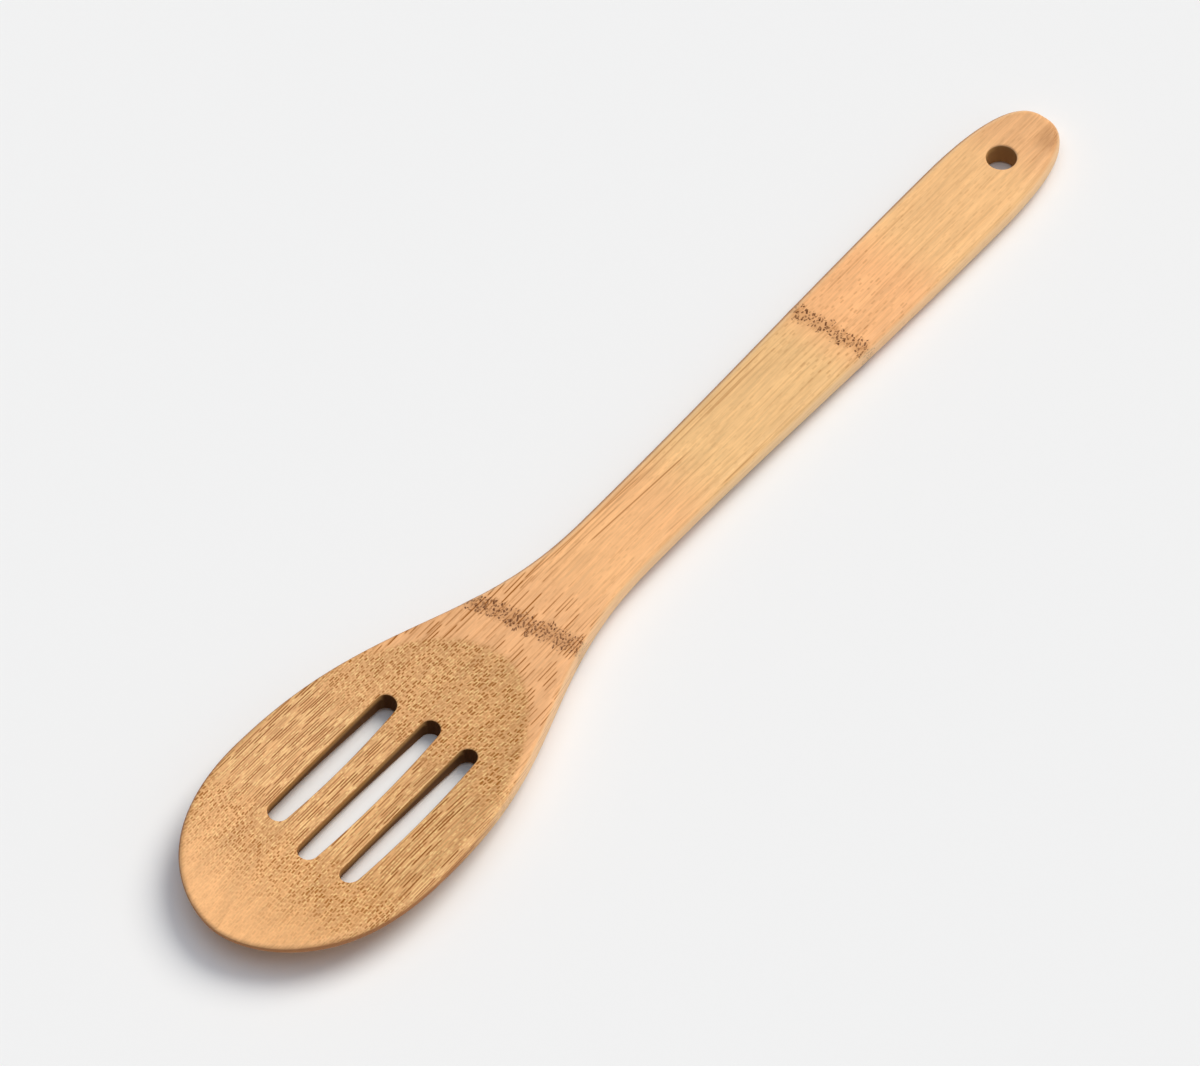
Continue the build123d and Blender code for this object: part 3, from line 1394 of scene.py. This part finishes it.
@dataclass(frozen=True)
class CutterBurnAndShade:
    """The walls of the slots and the hole, toasted by the cutter, and darker deeper down and at the
    slot ends, partly from scorch and partly as painted shade.

    The hollow's floor is taken as a bowl over its lowest point, with twice its lengthwise and
    its crosswise radius as floor_along and floor_across. The hole's steps are driven by the
    square of the distance from its middle.
    """

    toast: str = "BC8844"
    # Scorch and painted shade: the dark colour of the deep walls and the end walls
    scorch_and_shade: str = "5A3208"
    toast_share: float = 0.8
    slots_side: Step = Step(17.5, 16.5)
    slots_back: Step = Step(80.0, 78.0)
    slots_front: Step = Step(26.0, 28.0)
    hole_station: float = 282.8
    hole_zone: Step = Step(26.0, 20.0)
    hole_scorch_and_shade: Step = Step(20.0, 26.0, 0.3, 1.0)
    floor_station: float = 47.0
    floor_depth: float = 4.55
    floor_along: float = 515.0
    floor_across: float = 156.0
    top_limit: float = 0.7
    below_edge: Step = Step(0.1, 0.4)
    deep_scorch_and_shade: Step = Step(0.9, 2.4, 0.0, 0.92)
    slot_end_scorch_and_shade: Step = Step(0.2, 0.7)

    def over(self, wood: Wood, colour: Socket) -> tuple[Socket, Socket]:
        """Toasts the walls, then darkens them with scorch and painted shade.

        Args:
            wood: The bamboo's tree.
            colour: The colour so far.

        Returns:
            The colour with its cuts toasted and darkened, and the share of the walls.
        """
        calc = wood.calc
        off = calc("ABSOLUTE", wood.side)
        slots = wood.product(
            self.slots_side.of(wood, off),
            self.slots_back.of(wood, wood.station),
            self.slots_front.of(wood, wood.station),
        )
        run = calc("ADD", wood.station, -self.hole_station)
        from_hole = calc("MULTIPLY_ADD", run, run, calc("MULTIPLY", off, off))
        cut = calc("MAXIMUM", slots, self.hole_zone.of(wood, from_hole))

        run = calc("ADD", wood.station, -self.floor_station)
        lengthwise = wood.product(run, run, 1 / self.floor_along)
        floor = calc("MULTIPLY", wood.side, wood.side)
        floor = calc("MULTIPLY_ADD", floor, 1 / self.floor_across, lengthwise)
        floor = calc("MINIMUM", calc("ADD", floor, -self.floor_depth), self.top_limit)
        depth = calc("SUBTRACT", floor, wood.height)
        # Scorch and painted shade: darker with depth below the hollow's floor and on walls facing
        # along the spoon, less at the hole
        ends = self.slot_end_scorch_and_shade.of(wood, wood.endward)
        scorch_and_shade_share = calc("MAXIMUM", self.deep_scorch_and_shade.of(wood, depth), ends)
        scorch_and_shade_share = wood.product(scorch_and_shade_share, self.hole_scorch_and_shade.of(wood, from_hole))
        cut = wood.product(cut, wood.steep, self.below_edge.of(wood, depth))
        colour = wood.lay(wood.product(cut, self.toast_share), colour, self.toast)
        return wood.lay(wood.product(cut, scorch_and_shade_share), colour, self.scorch_and_shade), cut


@dataclass(frozen=True)
class SandedBamboo:
    """Bare bamboo, cut along the culm and sanded: matt, warm, with fine dark fibre bundles.

    Its open pores break up the gloss, so the specular level is half of a sealed surface's. The
    tones say how strongly each grain lightens and darkens the ground. Bundles and specks stand
    a little below the ground, as sanding leaves them, and the dents count in groove depths.
    """

    honey: str = "F0B67D"
    hollow: str = "DEA76F"
    # Colour of the pale fibres and the painted glints
    cream_and_glint: str = "FCD692"
    fibre: str = "8C4C00"
    dot: str = "9A5A08"
    speck: str = "5E2E00"
    ior: float = 1.5
    gloss: float = 0.25
    roughness: float = 0.68
    fine_roughness: float = -0.2
    cut_roughness: float = 0.25
    groove_depth: float = 0.03
    relief_strength: float = 0.7
    bundle_dent: float = -1.0
    speck_dent: float = -1.3
    fine_dent: float = 0.35
    broad: Grain = Grain(along=70.0, across=2.4)
    mottle: Grain = Grain(along=6.0, across=1.2, detail=3.0, roughness=0.6)
    broad_tone: float = 0.34
    fine_tone: float = 0.36
    patch_tone: float = 0.20
    mottle_tone: float = 0.34
    tip: Step = Step(24.0, 6.0, 0.0, 0.6)
    band_share: float = 0.34
    speck_share: float = 0.96
    lie: FibreLie = FibreLie()
    zone: HollowZone = HollowZone()
    bundles: FibreBundles = FibreBundles()
    knots: KnotBands = KnotBands()
    stain: HandStain = HandStain()
    # Painted highlights and painted shade on the edges
    edges: PaintedEdgeLight = PaintedEdgeLight()
    # Toasted walls, darkened by scorch and painted shade
    burn_and_shade: CutterBurnAndShade = CutterBurnAndShade()

    def make(self, move: Matrix) -> bpy.types.Material:
        """Builds the material.

        Args:
            move: The move from plan millimetres to the frame's metres.

        Returns:
            The finished material.
        """
        material = bpy.data.materials.new("sanded_bamboo")
        material.use_nodes = True
        wood = Wood(material.node_tree, move, self.lie)
        bowl, lowest = self.zone.mark(wood)
        colour = self.ground(wood, bowl)
        # Pale fibres and painted glints, laid in cream over the hollow
        bright = wood.product(self.bundles.bright(wood, lowest), bowl)
        colour = wood.lay(bright, colour, self.cream_and_glint)
        mark = self.bundles.dark(wood, bowl, lowest)
        dark = wood.lay(lowest, linear(self.dot), self.fibre)
        colour = wood.lay(mark, colour, dark)
        band, specks = self.knots.mark(wood)
        colour = wood.lay(wood.product(band, self.band_share), colour, self.fibre)
        colour = wood.lay(wood.product(specks, self.speck_share), colour, self.speck)
        colour = self.stain.over(wood, colour)
        # Painted highlights and painted shade on the edges
        colour = self.edges.over(wood, colour)
        # Toasted cut walls, darkened by scorch and painted shade
        colour, cut = self.burn_and_shade.over(wood, colour)

        dent = wood.calc("MULTIPLY", mark, self.bundle_dent)
        dent = wood.calc("MULTIPLY_ADD", specks, self.speck_dent, dent)
        dent = wood.calc("MULTIPLY_ADD", wood.fine, self.fine_dent, dent)
        depth = self.groove_depth * MM
        relief = {"Strength": self.relief_strength, "Distance": depth, "Height": dent}
        rough = wood.calc("MULTIPLY_ADD", wood.fine, self.fine_roughness, self.roughness)
        rough = wood.calc("MULTIPLY_ADD", cut, self.cut_roughness, rough)
        look = {
            "Base Color": colour,
            "Roughness": rough,
            "IOR": self.ior,
            "Specular IOR Level": self.gloss,
            "Normal": wood.add("Bump", inputs=relief),
        }
        wood.add("OutputMaterial", wood.add("BsdfPrincipled", inputs=look))
        return material

    def ground(self, wood: Wood, bowl: Socket) -> Socket:
        """Colours the wood between the bundles.

        Args:
            wood: The bamboo's tree.
            bowl: The share of the hollow.

        Returns:
            The ground's colour.
        """
        colour = linear(self.honey)
        for step, tint in TINTS:
            colour = wood.lay(step.of(wood, wood.station), colour, tint)
        colour = wood.lay(bowl, colour, self.hollow)
        colour = wood.lay(self.tip.of(wood, wood.station), colour, self.honey)
        grains = (
            (self.broad.value(wood), self.broad_tone),
            (wood.fine, self.fine_tone),
            (wood.patches, self.patch_tone),
            (self.mottle.value(wood), self.mottle_tone),
        )
        tone = 1.0 - sum(share for _, share in grains) / 2
        for grain, share in grains:
            tone = wood.calc("MULTIPLY_ADD", grain, share, tone)
        return wood.add("VectorMath", colour, inputs={"Scale": tone}, operation="SCALE")


@dataclass(frozen=True)
class Camera:
    """The viewpoint, in the spoon's plan."""

    azimuth: float = 50.78
    elevation: float = 53.15
    distance: float = 1820.0
    target: tuple[float, float, float] = (137.6, 3.6, 0.0)
    focal_pixels: float = 8000.0
    picture_width: float = 1200.0
    sensor: float = 36.0
    clip_end: float = 20.0

    def place(self, move: Matrix) -> bpy.types.Object:
        """Creates the camera.

        Args:
            move: The move from plan millimetres to the frame's metres.

        Returns:
            The camera object, set as the scene's camera.
        """
        turn, rise = math.radians(self.azimuth), math.radians(self.elevation)
        right = Vector((math.cos(turn), -math.sin(turn), 0.0))
        ahead = Vector((math.sin(turn), math.cos(turn), 0.0))
        forward = math.cos(rise) * ahead - math.sin(rise) * Vector((0.0, 0.0, 1.0))
        up = right.cross(forward)
        eye = Vector(self.target) - self.distance * forward
        pose = Matrix((right, up, -forward)).transposed().to_4x4()
        turned = move.to_quaternion().to_matrix().to_4x4() @ pose
        data = bpy.data.cameras.new("camera")
        data.sensor_width = self.sensor
        data.lens = self.focal_pixels * self.sensor / self.picture_width
        data.clip_end = self.clip_end
        camera = add_object("camera", data)
        camera.matrix_world = Matrix.Translation(move @ eye) @ turned
        bpy.context.scene.camera = camera
        return camera


@dataclass(frozen=True)
class SoftSun:
    """A far, broad light.

    Bearing is the plan direction that the light comes from, anticlockwise from the handle.
    """

    name: str
    tint: str
    bearing: float
    elevation: float
    strength: float
    spread: float

    def place(self) -> bpy.types.Object:
        """Creates the light.

        Returns:
            The light object.
        """
        data = bpy.data.lights.new(self.name, "SUN")
        data.energy = self.strength
        data.color = linear(self.tint)[:3]
        data.angle = math.radians(self.spread)
        lamp = add_object(self.name, data)
        turn, rise = math.radians(self.bearing), math.radians(self.elevation)
        flat = math.cos(rise)
        source = Vector((flat * math.cos(turn), flat * math.sin(turn), math.sin(rise)))
        lamp.rotation_euler = source.to_track_quat("Z", "Y").to_euler()
        return lamp


@dataclass(frozen=True)
class MattPaper:
    """Uncoated white paper without any gloss, so that only shade and bounce show on it."""

    colour: str = "EDEDED"
    roughness: float = 0.0

    def make(self) -> bpy.types.Material:
        """Builds the material.

        Returns:
            The finished material.
        """
        material = bpy.data.materials.new("matt_white_paper")
        material.use_nodes = True
        board = Board(material.node_tree)
        look = {"Color": linear(self.colour), "Roughness": self.roughness}
        board.add("OutputMaterial", board.add("BsdfDiffuse", inputs=look))
        return material


@dataclass(frozen=True)
class Studio:
    """A plain pale table top with soft even light and one broad key from the handle's end."""

    paper: MattPaper = MattPaper()
    backdrop: str = "F1F1F1"
    sky: str = "E4EFFF"
    sky_strength: float = 0.20
    floor_half: float = 3.0
    lights: tuple[SoftSun, ...] = (
        SoftSun("key", "FFF8EC", bearing=-13.0, elevation=50.0, strength=2.2, spread=38.0),
        SoftSun("overhead", "F0F6FF", bearing=0.0, elevation=85.0, strength=1.1, spread=70.0),
        SoftSun("fill", "FFFFFF", bearing=-75.0, elevation=36.0, strength=0.25, spread=60.0),
    )

    def build(self) -> None:
        """Builds the floor, the world and the lights."""
        self.floor()
        self.world()
        for light in self.lights:
            light.place()
            log.info("light %s", light.name)

    def floor(self) -> bpy.types.Object:
        """Builds the table top.

        Returns:
            The floor object.
        """
        half = self.floor_half
        mesh = bpy.data.meshes.new("table_top")
        corners = [(-half, -half, 0), (half, -half, 0), (half, half, 0), (-half, half, 0)]
        mesh.from_pydata(corners, [], [(0, 1, 2, 3)])
        mesh.materials.append(self.paper.make())
        floor = add_object("table_top", mesh)
        return floor

    def world(self) -> None:
        """Builds the even light from all round and the pale backdrop."""
        world = bpy.data.worlds.new("studio")
        world.use_nodes = True
        bpy.context.scene.world = world
        board = Board(world.node_tree)
        light = board.add("Background", linear(self.sky), self.sky_strength)
        seen = board.add("Background", inputs={"Color": linear(self.backdrop)})
        camera = board.add("LightPath", out="Is Camera Ray")
        board.add("OutputWorld", board.add("MixShader", camera, light, seen))


def main() -> None:
    """Builds the spoon and its studio in order and reports each piece."""
    logging.basicConfig(level=logging.INFO, format="%(message)s")
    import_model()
    body = SpoonBody()
    spoon = body.build()
    move = body.lay_down(spoon)
    shape = bmesh.new()
    shape.from_mesh(spoon.data)
    open_edges = sum(not edge.is_manifold for edge in shape.edges)
    volume = shape.calc_volume(signed=True) / MM**3
    shape.free()
    count = len(spoon.data.polygons)
    log.info("%s: %d faces, %d open edges, %.0f mm3", spoon.name, count, open_edges, volume)
    spoon.data.materials.append(SandedBamboo().make(move))
    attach(spoon, "root")
    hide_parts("spoon")
    log.info("%s dressed in sanded bamboo", spoon.name)
    Camera().place(move)
    log.info("camera placed")
    Studio().build()
    bpy.context.scene.view_settings.view_transform = "Standard"


if __name__ == "__main__":
    main()
